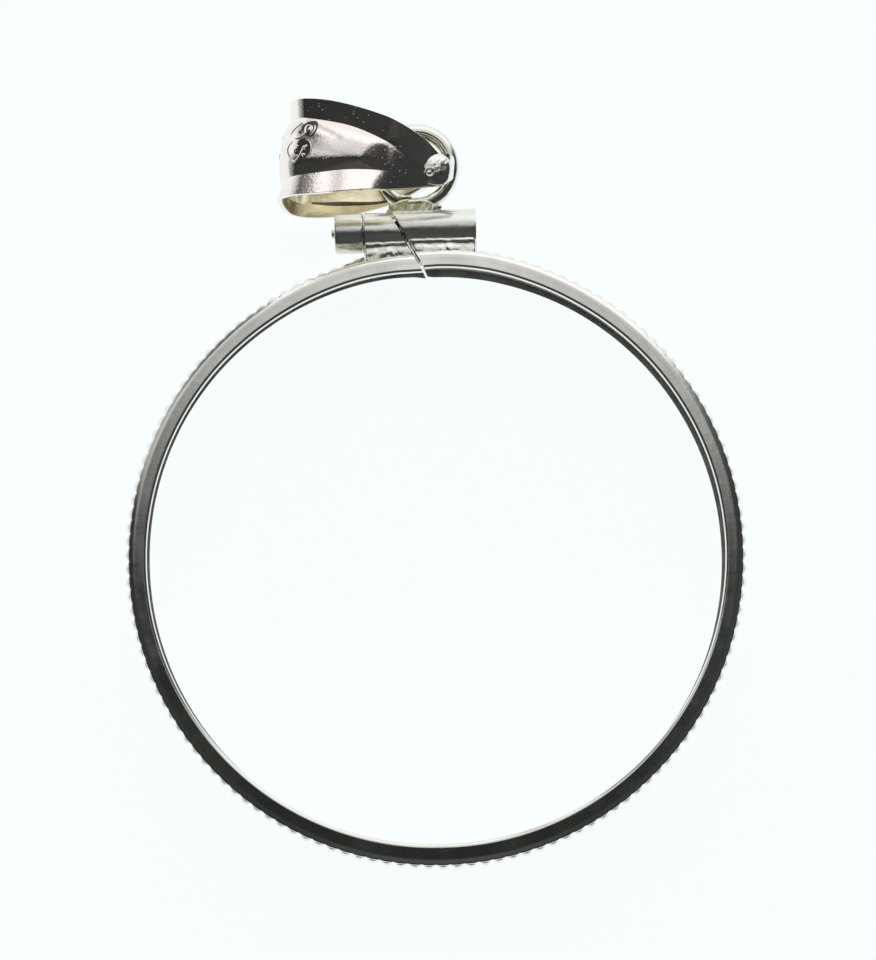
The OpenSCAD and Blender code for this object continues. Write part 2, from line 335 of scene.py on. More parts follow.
# Height from which the ribs fall away towards the rims, and the shares of that way that have a point
RIB_FALL, FALL_SHARES = 0.58, (0, 0.25, 0.45, 0.62, 0.76, 0.87, 0.95, 1)
# Columns of the ring's surface across one rib, as shares of the ribs' pitch
RIB_COLUMNS = (-0.5, -0.45, -0.36, -0.2, 0, 0.2, 0.36, 0.45)
# The saw leaned a little: for each mm of depth, the cut moves along the ring by this much, to the left if
# above zero
CUT_LEAN = -0.07
# How much of the rims' steps near the cut the back edge takes
BACK_SHARE = 0.5
# Edges of the front and back lip: angle in degrees, and distance in mm that they reach in past their
# circles. The reach fades over this width past the lip's rounding.
FRONT_IN = ((0, 0.02), (60, 0), (90, 0), (120, 0.04), (140, 0.02), (165, 0.05), (210, 0.07), (235, 0.1),
            (270, 0.24), (300, 0.13), (335, 0.06), (360, 0.02))
BACK_IN = ((0, 0), (30, 0.03), (60, 0.04), (75, 0.12), (89, 0.16), (93, -0.04), (98, -0.1), (120, -0.14),
           (150, -0.14), (180, -0.03), (210, -0.02), (235, -0.07), (310, -0.08), (335, -0.07), (360, 0))
LIP_FADE = 0.25


def ring_outline(sizes):
    """Radius, height, rib share and material of the ring's section, once round: half of it is the band,
    whose ribs end in a quarter of an ellipse, the rim's side and rounded outer edge, which take on a little
    of the ribs' wave, the crown, the dished face, the rounded lip and the seat's shelf. The other half
    mirrors it with the back lip."""
    r, z = sizes.ring_d / 2, sizes.ring_h / 2
    steep = math.degrees(math.asin(CROWN_W / CROWN_R))
    band = [[r, 0, 1, 0]]
    band += [[r, RIB_FALL + (BAND_HALF - RIB_FALL) * t, math.sqrt(1 - t * t), 0] for t in FALL_SHARES]
    r += RIM_PROUD
    halves = []
    for lip in (sizes.front_lip_d / 2, sizes.back_lip_d / 2):
        inner = r - EDGE_R * (1 - math.sin(math.radians(steep))) - CROWN_W
        crown = arc(inner, z - CROWN_R, CROWN_R, 90 - steep, 90, 9) - (0, CROWN_DROP)
        turn_z = crown[0, 1] - EDGE_R * math.cos(math.radians(steep))
        turn = arc(r - EDGE_R, turn_z, EDGE_R, 0, 90 - steep, 6)[:-1]
        flat = [[lip + out, z + down] for out, down in DISH]
        edge = arc(lip + LIP_ROUND, z - LIP_ROUND, LIP_ROUND, 90, 180, 9)
        shelf = [[lip, SEAT_HALF], [sizes.seat_d / 2, SEAT_HALF]]
        plain = np.array([[r, turn[0, 1] - SIDE_H], *turn, *crown, *flat, *edge, *shelf])
        groove = np.arange(len(plain)) >= len(plain) - len(shelf)
        wave = EDGE_WAVE * np.clip(1 - (r - plain[:, 0]) / WAVE_IN, 0, 1)
        halves.append(np.concatenate([band, np.column_stack([plain, wave, groove])]))
    front, back = halves
    back = back[1:][::-1] * (1, -1, 1, 1)
    # A strip takes its material from its first place, so the last strip of the groove ends at the back
    # lip's edge
    back[1, 3] = 0
    return np.concatenate([front, back])


def rib_radius(sizes, angle):
    """Radius of the reeded band: ribs are circles on a ring, and between them lies the band's floor."""
    pitch = math.tau / sizes.rib_count
    centre = sizes.ring_d / 2 + sizes.rib_proud + RIB_MORE - RIB_R
    off = (angle / pitch % 1 - 0.5) * pitch
    side = RIB_R ** 2 - (centre * np.sin(off)) ** 2
    bump = np.where(side > 0, centre * np.cos(off) + np.sqrt(np.maximum(side, 0)), 0)
    return np.maximum(sizes.ring_d / 2 - BAND_DEPTH, bump)


def near_ends(angles, start, end):
    """Shares that fall from 1 at the left and the right end of the ring to 0 at NEAR_CUT degrees from
    it."""
    reach = math.radians(NEAR_CUT)
    return np.clip(1 - (angles - start) / reach, 0, 1), np.clip(1 - (end - angles) / reach, 0, 1)


def ring_shell(sizes):
    """The section swept round the seat. Its columns gather on the ribs, and its ends follow the cut's slant
    with the square of their nearness and its lean with their nearness. The rims move in or out near the cut
    by the tables above, the back edge half as much as the front, and the lips' edges by theirs."""
    outline = ring_outline(sizes)
    pitch = math.tau / sizes.rib_count
    start, end = cut_angle(sizes, WALL_MIDDLE, -1), cut_angle(sizes, WALL_MIDDLE, 1) + math.tau
    angles = ((np.arange(2 * sizes.rib_count)[:, None] + 0.5 + np.array(RIB_COLUMNS)) * pitch).ravel()
    # No column stands nearer to an end than this
    least = 0.004
    angles = np.concatenate([[start], angles[(angles > start + least) & (angles < end - least)], [end]])
    share = outline[None, :, 2]
    radius = outline[None, :, 0] * (1 - share) + rib_radius(sizes, angles)[:, None] * share
    angles = np.repeat(angles[:, None], len(outline), 1)
    left, right = near_ends(angles, start, end)
    angles = angles + (cut_angle(sizes, radius, -1) - start) * left ** 2
    angles = angles + (cut_angle(sizes, radius, 1) + math.tau - end) * right ** 2
    height = outline[None, :, 1] + 0 * angles
    left, right = near_ends(angles, start, end)
    angles = angles + CUT_LEAN * (sizes.ring_h / 2 - height) / radius * (left + right)
    degrees = np.degrees(angles)
    out = np.where(degrees < 360, np.interp(degrees, *np.array(RIM_IN).T),
                   np.interp(degrees - 360, *np.array(RIM_OUT).T))
    out = out * (BACK_SHARE + (1 - BACK_SHARE) * smooth_step(height / sizes.ring_h + 0.5))
    lips = (sizes.front_lip_d, FRONT_IN, height > 0), (sizes.back_lip_d, BACK_IN, height < 0)
    for lip_d, reach, half in lips:
        near_lip = np.clip(1 - (radius - lip_d / 2) / (LIP_ROUND + LIP_FADE), 0, 1) * half
        # The seat's own corner stays where it is
        near_lip = near_lip * (np.abs(radius - sizes.seat_d / 2) > 0.001)
        out = out - near_lip * np.interp(degrees % 360, *np.array(reach).T)
    points = np.stack([(radius + out) * np.cos(angles), (radius + out) * np.sin(angles), height], -1)
    return swept(points, caps="outline", marks=outline[:, 3].astype(int))


class OBJECT_OT_bezel_ring(bpy.types.Operator):
    """Makes the ring with its two lips, its seat and its reeded edge"""

    bl_idname = "object.bezel_ring"
    bl_label = "Bezel Ring"

    def execute(self, context):
        tone = context.scene.bezel_colours.ring_silver
        # Rolled and polished sterling silver: mirror-like, with faint waves and a fine grain from the
        # polishing
        finish = silver_finish("polished_rolled_silver", tone, (0.1, 0.17), (0.5, 2.2), (0.06, 0.8))
        # The groove under the lips, which no buff reaches: rough, with brighter grains; its darker grey tone
        # is painted shade of the groove
        groove = silver_finish("oxidised_groove_silver", shade(tone, 0.66)[:3],
                               (0.3, 0.45), (0.12, 9), (0.05, 3), 0.6)
        ring = make_piece("ring_with_reeding", [ring_shell(millimetres())], "frame",
                          [finish, groove])
        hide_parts("bezel_frame")
        return {"FINISHED"}


# The right half of the tube sits a little higher than the left half and the screw's head
HALF_SHIFT = {-1: -0.07, 1: 0.08}
TUBE_BORE = 0.98
# Rounded edges of a half's outer end and of its end at the cut: distance in from the end, and depth below
# the outside
END_EDGE = ((0, 0.06), (0.02, 0.015), (0.06, 0))
CUT_EDGE = ((0.048, 0), (0.015, 0.012), (0, 0.05))


def tube_half(sizes, side):
    """Half of the tube: its wall's outline is carried round the axis, and its end at the cut follows the
    slant. Rows go round, and columns go out along the outside, over the cut's edge and back along the bore.
    The surface is dented by smooth noise."""
    radius = sizes.tube_d / 2
    around = np.linspace(0, math.tau, 128, endpoint=False)[:, None]
    t = np.linspace(0, 1, 40)[1:-1]
    (end_in, end_deep), (cut_in, cut_deep) = np.array(END_EDGE).T, np.array(CUT_EDGE).T
    share = np.concatenate([0 * end_in, t, 1 + 0 * cut_in, [1, 0]])
    inset = np.concatenate([end_in, 0 * t, -cut_in, [0, 0]])
    wall = np.concatenate([radius - end_deep, radius + 0 * t, radius - cut_deep, [TUBE_BORE, TUBE_BORE]])
    y = TUBE_Y + wall * np.cos(around)
    plain = TUBE_LEFT if side < 0 else TUBE_RIGHT
    x = plain + (cut_x(sizes, y, side) - plain) * share - side * inset
    points = np.stack([x, y + HALF_SHIFT[side], wall * np.sin(around)], -1)
    dents = ripple(points, 1.1, 5 + side) * 0.008
    points[..., 1] += dents * np.cos(around)
    points[..., 2] += dents * np.sin(around)
    return swept(points, closed=True)


class OBJECT_OT_bezel_tube(bpy.types.Operator):
    """Makes the two halves of the closure tube on both sides of the cut"""

    bl_idname = "object.bezel_tube"
    bl_label = "Closure Tube"

    def execute(self, context):
        sizes = millimetres()
        tone = context.scene.bezel_colours.tube_silver
        # Drawn silver tube, pickled after soldering: satin, with short marks along it
        finish = silver_finish("drawn_pickled_silver", tone,
                               (0.2, 0.3), (0.22, 6), (0.07, 1.2), 0.85, (0.45, 1, 1))
        halves = [tube_half(sizes, side) for side in (-1, 1)]
        make_piece("closure_tube", halves, "frame", [finish])
        return {"FINISHED"}


def sphere_way(rows, columns):
    """Directions from the middle of a ball on a grid of heights and turns, without the poles."""
    up = np.linspace(0, math.pi, rows + 2)[1:-1, None]
    around = np.linspace(0, math.tau, columns, endpoint=False)[None, :]
    return np.stack([np.sin(up) * np.cos(around), np.sin(up) * np.sin(around), np.cos(up) + 0 * around], -1)


def blob(centre, radii, seed, uneven):
    """Solder lump: an ellipsoid whose surface moves in and out along its own direction by smooth noise."""
    way = sphere_way(28, 40)
    points = np.array(centre) + way * radii
    return swept(points + way * uneven * ripple(points, 0.7, seed)[..., None])


# Half thickness in mm of the solder between tube and ring, on a scale from -1 in the ring's edge to 1 in
# the tube: full over the ring, with a shallow groove and then a ridge where it meets the tube
WEB_THICK = ((-1, 1.16), (-0.3, 1.15), (0.02, 1.155), (0.26, 1.09), (0.42, 1.04), (0.6, 1.14), (0.8, 1.08),
             (1, 0.9))
# How far the left half's faces draw in for each unit of that scale towards the ring, how far the web
# reaches into the ring and up the tube, and by which share its ends are thinner over which share of its
# length
WEB_LEAN, WEB_BITE, WEB_CLIMB, WEB_END, WEB_END_SHARE = 0.032, 0.3, 0.7, 0.18, 0.04
# Stretch of the section's circle past its square, up and across, the distance that the left half starts
# outside the tube, and how much further right the cut is at the ring than at the tube's axis
WEB_TALL, WEB_WIDE, WEB_PAST, CUT_FURTHER = 1.25, 1.9, 0.05, 0.6


def web_shell(sizes, side):
    """Solder web: from the tube's end to the cut, a section that spans from the ring's edge up into the
    tube, as thick as the table says, and uneven by smooth noise. The section is a circle stretched past a
    square and cut to it, which rounds its corners only."""
    radius = sizes.ring_d / 2 - BAND_DEPTH
    along = np.linspace(0, 1, 60)[:, None]
    around = np.linspace(0, math.tau, 48, endpoint=False)[None, :]
    up = np.clip(WEB_TALL * np.cos(around), -1, 1)
    thick = np.clip(WEB_WIDE * np.sin(around), -1, 1)
    plain = TUBE_LEFT - WEB_PAST if side < 0 else TUBE_RIGHT
    # The ring's edge is found under a straight line, which the right half draws to the cut at the ring
    line = plain + (SLIT_X + CUT_FURTHER * (side > 0) - plain) * along
    low = np.sqrt(radius ** 2 - line ** 2) - WEB_BITE
    high = TUBE_Y - sizes.tube_d / 2 + WEB_CLIMB + HALF_SHIFT[side]
    y = (low + high) / 2 + (high - low) / 2 * up
    x = plain + (cut_x(sizes, y, side) - plain) * along
    ends = np.clip(np.minimum(along, 1 - along) / WEB_END_SHARE, 0, 1)
    z = thick * np.interp(up, *np.array(WEB_THICK).T) * (1 - WEB_END + WEB_END * ends)
    z = z - WEB_LEAN * (1 - up) * np.sign(thick) * (side < 0)
    points = np.stack([x, y, z], -1)
    lumps = 0.03 * ripple(points, 0.9, 31 + side) + 0.02 * ripple(points, 0.35, 33 + side)
    points[..., 2] += lumps * np.sign(thick) * np.minimum(1, np.abs(thick) * 2)
    return swept(points)


# Run-out of the solder along the ring to the left of the tube: where it starts and how far it runs in
# degrees, the depth of its middle in the ring, its half thickness at the start and how much of that it
# loses. Then the half height at its end, what the blunt part adds and what falls from the tube on.
RUNOUT_FROM, RUNOUT_RUN, RUNOUT_DEEP, RUNOUT_THICK, RUNOUT_THINS = 101.3, 7.2, 0.22, 1.05, 0.35
RUNOUT_END, RUNOUT_BLUNT, RUNOUT_FALLS = 0.06, 0.36, 0.12


def runout_shell(sizes):
    """Run-out of the solder: an oval section carried round the ring's edge. It keeps its height and ends
    blunt, as the root of one less a fifth power does, and falls a little by a square from the tube."""
    along = np.linspace(0, 1, 40)[:, None]
    around = np.linspace(0, math.tau, 36, endpoint=False)[None, :]
    angle = np.radians(RUNOUT_FROM + RUNOUT_RUN * along)
    tall = RUNOUT_END + RUNOUT_BLUNT * np.sqrt(1 - along ** 5) + RUNOUT_FALLS * (1 - along) ** 2
    wide = RUNOUT_THICK - RUNOUT_THINS * along
    radius = sizes.ring_d / 2 - RUNOUT_DEEP + tall * (0.35 + np.cos(around))
    points = np.stack([radius * np.cos(angle), radius * np.sin(angle), wide * np.sin(around)], -1)
    # The lumps move the surface less along the ring than out of it
    return swept(points + 0.03 * ripple(points, 0.6, 77)[..., None] * np.array([0.3, 1, 1]))


# Solder saddle on the tube at the loop's foot: place along the tube from the loop's middle, and height over
# the tube
SADDLE_TOP = ((-2.0, 0.02), (-1.85, 0.2), (-1.5, 0.55), (-1.05, 0.82), (-0.5, 0.9), (0, 0.85), (0.6, 0.8),
              (1.05, 0.6), (1.35, 0.25), (1.6, 0.02))
# How deep it stands in the tube, how much narrower it gets upwards, the power of its round top and the
# depth of its belly
SADDLE_SINK, SADDLE_TAPER, SADDLE_ROUND, SADDLE_BELLY = 0.35, 0.24, 0.8, 0.2
# Its half width where it is low, how much wider it is where it is tall, and from what height on it is that
SADDLE_HALF_W, SADDLE_WIDER, SADDLE_TALL = 0.4, 0.3, 0.6
# Lumps on the saddle: middle from the foot of the loop's middle, and radii
SADDLE_LUMPS = (
    ((-1.35, 0.26, 0.44), (0.5, 0.26, 0.12)), ((-0.1, 0.5, 0.52), (0.55, 0.2, 0.1)),
    ((1.2, 0.2, 0.34), (0.5, 0.24, 0.12)), ((-0.8, 0.86, 0.5), (0.5, 0.15, 0.1)),
)


def saddle_shell(sizes):
    """Solder saddle: sections across the tube, as tall as the table says, with a rounded top, steep sides
    and a shallow belly inside the tube, uneven by smooth noise."""
    places, tops = np.array(SADDLE_TOP).T
    x = np.linspace(places[0] + LOOP_X, places[-1] + LOOP_X, 70)[:, None]
    top = np.interp(x, places + LOOP_X, tops)
    around = np.linspace(0, math.tau, 48, endpoint=False)[None, :]
    base = TUBE_Y + sizes.tube_d / 2 - SADDLE_SINK
    over, under = np.maximum(0, np.cos(around)), np.maximum(0, -np.cos(around))
    up = over ** SADDLE_ROUND * (top + SADDLE_SINK) - under * SADDLE_BELLY
    half = SADDLE_HALF_W + SADDLE_WIDER * np.minimum(1, top / SADDLE_TALL)
    wide = half * np.clip(1.8 * np.sin(around), -1, 1) * (1 - SADDLE_TAPER * np.cos(around))
    points = np.stack([x + 0 * up, base + up, wide], -1)
    lumps = ripple(points, 0.75, 12) * 0.045 + ripple(points, 0.3, 13) * 0.012
    points[..., 1] += lumps * np.cos(around)
    points[..., 2] += lumps * np.sin(around)
    return swept(points)


class OBJECT_OT_bezel_solder(bpy.types.Operator):
    """Makes the solder between tube and ring and the saddle at the loop's foot"""

    bl_idname = "object.bezel_solder"
    bl_label = "Solder"

    def execute(self, context):
        sizes = millimetres()
        tone = context.scene.bezel_colours.solder
        # Hard silver solder as it froze: lumpy, satin and slightly green
        finish = silver_finish("frozen_silver_solder", tone,
                               (0.14, 0.3), (0.45, 22), (0.12, 5), 0.9, metallic=0.95)
        foot = np.array([LOOP_X, TUBE_Y + sizes.tube_d / 2, 0])
        lumps = [blob(foot + middle, radii, seed, 0.03) for seed, (middle, radii) in enumerate(SADDLE_LUMPS)]
        shells = [web_shell(sizes, -1), web_shell(sizes, 1), runout_shell(sizes), saddle_shell(sizes), *lumps]
        make_piece("solder_joints", shells, "frame", [finish], 60)
        return {"FINISHED"}


# The loop's middle circle is drawn out by this share towards this direction in degrees, and its wire is
# fuller in the loop's plane by this share at the top and leaner at the foot
LOOP_DRAWN, LOOP_DRAWN_AT, WIRE_FULLER = 0.045, 70, 0.08


def loop_centre(sizes):
    """Middle of the loop, which stands on the tube and sinks into it a little."""
    return LOOP_X, TUBE_Y + sizes.tube_d / 2 + sizes.loop_d / 2 - LOOP_SINK


def loop_shell(sizes):
    """Ring of round wire: a circle of half the wire's thickness carried round the loop's middle circle,
    which is drawn out by the square of a cosine."""
    x, y = loop_centre(sizes)
    wire = sizes.wire_d / 2
    a = np.linspace(0, math.tau, 220, endpoint=False)[:, None]
    b = np.linspace(0, math.tau, 48, endpoint=False)[None, :]
    reach = (sizes.loop_d - sizes.wire_d) / 2 + wire * np.cos(b) * (1 + WIRE_FULLER * np.sin(a))
    reach = reach * (1 + LOOP_DRAWN * np.maximum(0, np.cos(a - math.radians(LOOP_DRAWN_AT))) ** 2)
    points = np.stack([x + reach * np.cos(a), y + reach * np.sin(a), wire * np.sin(b) + 0 * a], -1)
    return swept(points, closed=True)


class OBJECT_OT_bezel_loop(bpy.types.Operator):
    """Makes the round-wire loop on the tube"""

    bl_idname = "object.bezel_loop"
    bl_label = "Loop"

    def execute(self, context):
        # Drawn round wire, bent and polished: fine marks
        finish = silver_finish("drawn_round_wire_silver", context.scene.bezel_colours.tube_silver,
                               (0.1, 0.18), (0.4, 3), (0.07, 0.6))
        make_piece("loop", [loop_shell(millimetres())], "frame", [finish])
        return {"FINISHED"}


# Screw in mm: radius of the nub's edge on the head and how far the nub stands out, points along the thread
# and round the screw, and length over which the thread fades at both ends
NUB_EDGE, NUB_OUT, THREAD_POINTS, SCREW_POINTS, THREAD_FADE = 0.12, 0.25, 430, 96, 0.3


def screw_shell(sizes):
    """Screw turned round its axis: the head's profile with a nub in its middle and rounded edges, the
    thread, a cosine groove whose phase turns once for each pitch along the shank, and the domed tip."""
    r, shank = sizes.tube_d / 2, sizes.shank_d / 2
    right = TUBE_LEFT - HEAD_GAP
    left = right - HEAD_LEN
    nub = arc(left - NUB_OUT + NUB_EDGE, 0.2, NUB_EDGE, 180, 90, 7)
    head = np.array([
        (left - NUB_OUT, 0.05), *nub, (left - 0.01, 0.32), (left, 0.36), (left, 0.5), (left, r - 0.14),
        (left + 0.035, r - 0.05), (left + 0.11, r - 0.008), (left + 0.2, r), (left + 0.9, r),
        (right - 0.16, r), (right - 0.06, r - 0.02), (right - 0.01, r - 0.07), (right, r - 0.14),
        (right, shank + 0.02)])
    tip = np.array([
        (SHANK_TIP - 0.1, shank - 0.08), (SHANK_TIP - 0.03, shank - 0.14), (SHANK_TIP, shank - 0.25)])
    x = np.linspace(right, SHANK_TIP - 0.15, THREAD_POINTS)
    turn = np.linspace(0, math.tau, SCREW_POINTS, endpoint=False)[None, :]
    fade = ramp(x, right, THREAD_FADE) * smooth_step((SHANK_TIP - 0.1 - x) / THREAD_FADE)
    groove = 0.5 - 0.5 * np.cos(math.tau * x[:, None] / sizes.thread_pitch - turn)
    thread = shank - sizes.thread_depth * fade[:, None] * groove
    radius = np.concatenate([head[:, 1:] + 0 * turn, thread, tip[:, 1:] + 0 * turn])
    along = np.concatenate([head[:, 0], x, tip[:, 0]])[:, None]
    y = TUBE_Y + HALF_SHIFT[-1] + radius * np.cos(turn)
    return swept(np.stack([along + 0 * radius, y, radius * np.sin(turn)], -1))


class OBJECT_OT_bezel_screw(bpy.types.Operator):
    """Makes the closing screw with its head, thread and domed end"""

    bl_idname = "object.bezel_screw"
    bl_label = "Closing Screw"

    def execute(self, context):
        # Turned sterling silver rod: satin, with short marks along the head
        finish = silver_finish("turned_silver_rod", context.scene.bezel_colours.tube_silver,
                               (0.2, 0.3), (0.22, 6), (0.07, 1.2), 0.85, (0.45, 1, 1))
        screw = make_piece("closing_screw", [screw_shell(millimetres())], "screw", [finish])
        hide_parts("closure_screw")
        return {"FINISHED"}


# Shape of the bail, in mm and degrees. Its places along the strip count from the eye's centre. Radii of the
# eye, the fold and the bulging plates, half width at the eye, and how much wider the eye's oval is
EYE_R, FOLD_R, PLATE_R, EYE_HALF_W, EYE_OVAL = 0.85, 1.9, 12.0, 0.4, 0.66
# Power of the plates' width at the back, and how much lower it is in front
WIDTH_POWER, FRONT_LESS = 1.34, 0.49
# How far the eye and the back plate's end stand aside, and the lengths over which that fades
EYE_SHIFT, TIP_SHIFT, EYE_FADE, TIP_FADE = 0.62, 0.2, 6, 4
# Where the front panel starts and how long it runs, its half width there, and the power by which it widens
PANEL_START, PANEL_RUN, PANEL_HALF_W, PANEL_POWER = 1.9, 7.3, 2.02, 0.48
# Height of the panel's crown, the share of it that the panel's rounded end keeps, width of that rounding,
# slope of the panel and of the flanges across the strip, and twist of the strip near the eye
PANEL_CROWN, END_SHARE, END_ROUND = 0.42, 0.035, 0.26
PANEL_TILT, FLANGE_SLOPE, EYE_TWIST = 2.6, 13.0, 6.0
# Width and slope of the back plate's flanges, which turn in, and degrees of the fold over which the front's
# section turns into the back's
BACK_FLANGE_W, BACK_SLOPE, FOLD_TURN = 0.7, -7.0, 50
# How much wider the lower half of the back plate is, and the upper half of the front plate at the fold
BACK_WIDER, FRONT_WIDER = 0.48, 0.1
# Share of the strip's half width that the panel may take in front, and how much more at the back. Then how
# far the front panel stands aside near the eye, and how far it moves the other way towards the fold.
PANEL_MOST, PANEL_MORE, PANEL_ASIDE, ASIDE_MOVE = 0.78, 0.2, 0.2, 0.32
# How fast the valley nears the panel's middle towards the eye, and how soft it is there
VALLEY_NEARS, VALLEY_SOFT = 0.355, 0.5
# Where each of these sets in along the strip, and over what length: the panel's full section, its crown and
# tilt, the end of the twist, the valley's turn to the panel's edge and its sharpening, and the lower
# flange's flare
FULL_AT, CROWN_AT, TILT_AT, TWIST_END_AT = (3.2, 1.5), (3.15, 2), (3.6, 1.7), (2.5, 2.1)
VALLEY_AT, SHARP_AT, FLARE_AT = (3, 0.5), (2.4, 1.2), (2.9, 1.5)
# The same for the back's flanges, the front panel's move aside, and the wider halves of the back plate and
# the front plate
BACK_FLANGE_AT, ASIDE_AT, BACK_WIDER_AT, FRONT_WIDER_AT = (2.6, 4.4), (2, 4.5), (0, 3), (5, 3)
# Where the crease inside, dark with painted shade, starts to taper, and where it ends
CREASE_TAPER, CREASE_END = 6.4, 8.4
# How the bail lies: its heading, pitch and roll, the eye's height, and the eye's distance from the loop's
# middle
HEADING, PITCH, ROLL, EYE_Z, EYE_BACK = 174.0, 2.4, 3.5, 1.42, 1.55


def bail_matrix(sizes):
    """Where the bail lies: turned about its length and tipped, moved to its eye, then turned to its
    heading."""
    x, y = loop_centre(sizes)
    lean = Matrix.Rotation(math.radians(PITCH), 4, "Y") @ Matrix.Rotation(math.radians(ROLL), 4, "X")
    return (Matrix.Translation((x, y, 0)) @ Matrix.Rotation(math.radians(HEADING), 4, "Z")
            @ Matrix.Translation((-EYE_BACK, 0, EYE_Z)) @ lean)


def placed(sizes, points):
    """Points of the bail's own frame, carried to where it lies."""
    m = np.array(bail_matrix(sizes))
    return points @ m[:3, :3].T + m[:3, 3]


def bail_path(sizes, eye=26, plate=110, fold=56):
    """Side view of the strip's middle: tangent arcs round the eye, along the bulging plate and round the
    fold, then their mirror image. Gives u along, w out, the outward direction, and 1 in front or 0 at the
    back. eye, plate and fold are the numbers of points on the arcs."""
    fold_u = sizes.bail_len - EYE_R - FOLD_R - sizes.sheet_t
    # The plate's arc touches both others, so its centre is at known distances from theirs
    plate_u = (fold_u ** 2 + (PLATE_R - EYE_R) ** 2 - (PLATE_R - FOLD_R) ** 2) / (2 * fold_u)
    plate_w = -math.sqrt((PLATE_R - EYE_R) ** 2 - plate_u ** 2)
    eye_end, fold_start = math.atan2(-plate_w, -plate_u), math.atan2(-plate_w, fold_u - plate_u)
    arcs = ((0, 0, EYE_R, np.linspace(math.pi, eye_end, eye, endpoint=False)),
            (plate_u, plate_w, PLATE_R, np.linspace(eye_end, fold_start, plate, endpoint=False)),
            (fold_u, 0, FOLD_R, np.linspace(fold_start, 0, fold)))
    u = np.concatenate([centre + radius * np.cos(a) for centre, _, radius, a in arcs])
    w = np.concatenate([centre + radius * np.sin(a) for _, centre, radius, a in arcs])
    a = np.concatenate([part[3] for part in arcs])
    back = slice(-2, 0, -1)
    front = np.concatenate([np.ones(len(u)), np.zeros(len(u[back]))])
    return np.concatenate([u, u[back]]), np.concatenate([w, -w[back]]), np.concatenate([a, -a[back]]), front


def panel_edges(sizes, path):
    """Half widths of strip and panel at places of the strip, how far the panel stands aside, and 1 where it
    has become the broad one of the back. The strip's half width is a power of a parabola of the distance
    from the eye's end, and the front panel's is a power of the distance from the panel's end."""
    u, w, a, front = path
    share = np.minimum(1, (u + EYE_R + sizes.sheet_t / 2) / sizes.bail_len)
    swell = np.where(u < 0, smooth_step((w / EYE_R + 1) / 2), front)
    power = WIDTH_POWER - FRONT_LESS * swell
    half = EYE_HALF_W + (sizes.bail_w / 2 - EYE_HALF_W) * (1 - (1 - share) ** 2) ** power
    # Round the eye, the front's end is an oval that narrows to the eye's width
    turn = np.clip((a - math.pi / 2) / (math.pi / 2), 0, 1)
    oval = EYE_HALF_W + EYE_OVAL * np.maximum(0, 1 - turn ** 2.4) ** 0.7
    half = np.where((u < 0) & (a > 0), oval, half)
    panel = PANEL_HALF_W * np.maximum(0.0004, (u - PANEL_START) / PANEL_RUN) ** PANEL_POWER
    # Over the middle of the fold, the front's panel turns into the back's
    behind = smooth_step(0.5 - a / math.radians(FOLD_TURN)) * (u > 0)
    flange = BACK_FLANGE_W * ramp(u, *BACK_FLANGE_AT)
    panel = panel + (np.maximum(panel, half - flange) - panel) * behind
    panel = np.minimum(panel, half * (PANEL_MOST + PANEL_MORE * behind))
    return half, panel, (PANEL_ASIDE - ASIDE_MOVE * ramp(u, *ASIDE_AT)) * (1 - behind), behind


def panel_rise(u, s, panel, behind):
    """Height of the panel at a share s of its half width. In front it is a flat tongue, whose rounding is a
    smooth step of the distance to the panel's outline, and a crown of power 8 that becomes 3. At the back
    it is a parabola."""
    full = ramp(u, *FULL_AT)
    power = 1 / PANEL_POWER
    # Distance to the outline: how far its formula is from zero, over the formula's steepness
    steep = power / PANEL_HALF_W * (np.abs(s) * panel / PANEL_HALF_W) ** (power - 1)
    run = (u - PANEL_START) / PANEL_RUN
    inwards = run * (1 - np.abs(s) ** power) / np.hypot(1 / PANEL_RUN, steep)
    tongue = smooth_step(inwards / END_ROUND)
    front_crown = (END_SHARE * (tongue + (1 - np.abs(s) ** 3 - tongue) * full)
                   + (1 - END_SHARE) * ramp(u, *CROWN_AT) * (1 - np.abs(s) ** (8 - 5 * full)))
    back_crown = (1 - s ** 2) * np.clip(panel / 0.9 - 0.12, 0, 1)
    return PANEL_CROWN * (front_crown + (back_crown - front_crown) * behind)


def flange_rise(u, across, beside, panel, front, behind):
    """Height of the flanges: their slope times the distance past the valley, by a hyperbola that rounds the
    valley near the eye. beside is the distance from the panel's middle. The valley follows the panel's
    edge, and towards the eye it narrows to the panel's middle."""
    begin = VALLEY_AT[0]
    edge = PANEL_HALF_W * (np.maximum(begin, u) - PANEL_START) ** PANEL_POWER / PANEL_RUN ** PANEL_POWER
    valley = np.maximum(0, edge + VALLEY_NEARS * np.minimum(0, u - begin))
    valley = valley + (panel - valley) * np.maximum(behind, ramp(u, *VALLEY_AT))
    soft = 0.001 + VALLEY_SOFT * (1 - ramp(u, *SHARP_AT)) * front
    past = np.hypot(np.maximum(0, np.abs(beside) - valley), soft) - soft
    # The flange at the lower side lies flat near the eye, and the other one flares all along
    fade = np.where(across > 0, ramp(u, *FLARE_AT), np.clip((u + 0.4) / 1.6, 0, 1))
    return np.tan(np.radians(FLANGE_SLOPE * fade * (1 - behind) + BACK_SLOPE * fade * behind)) * past


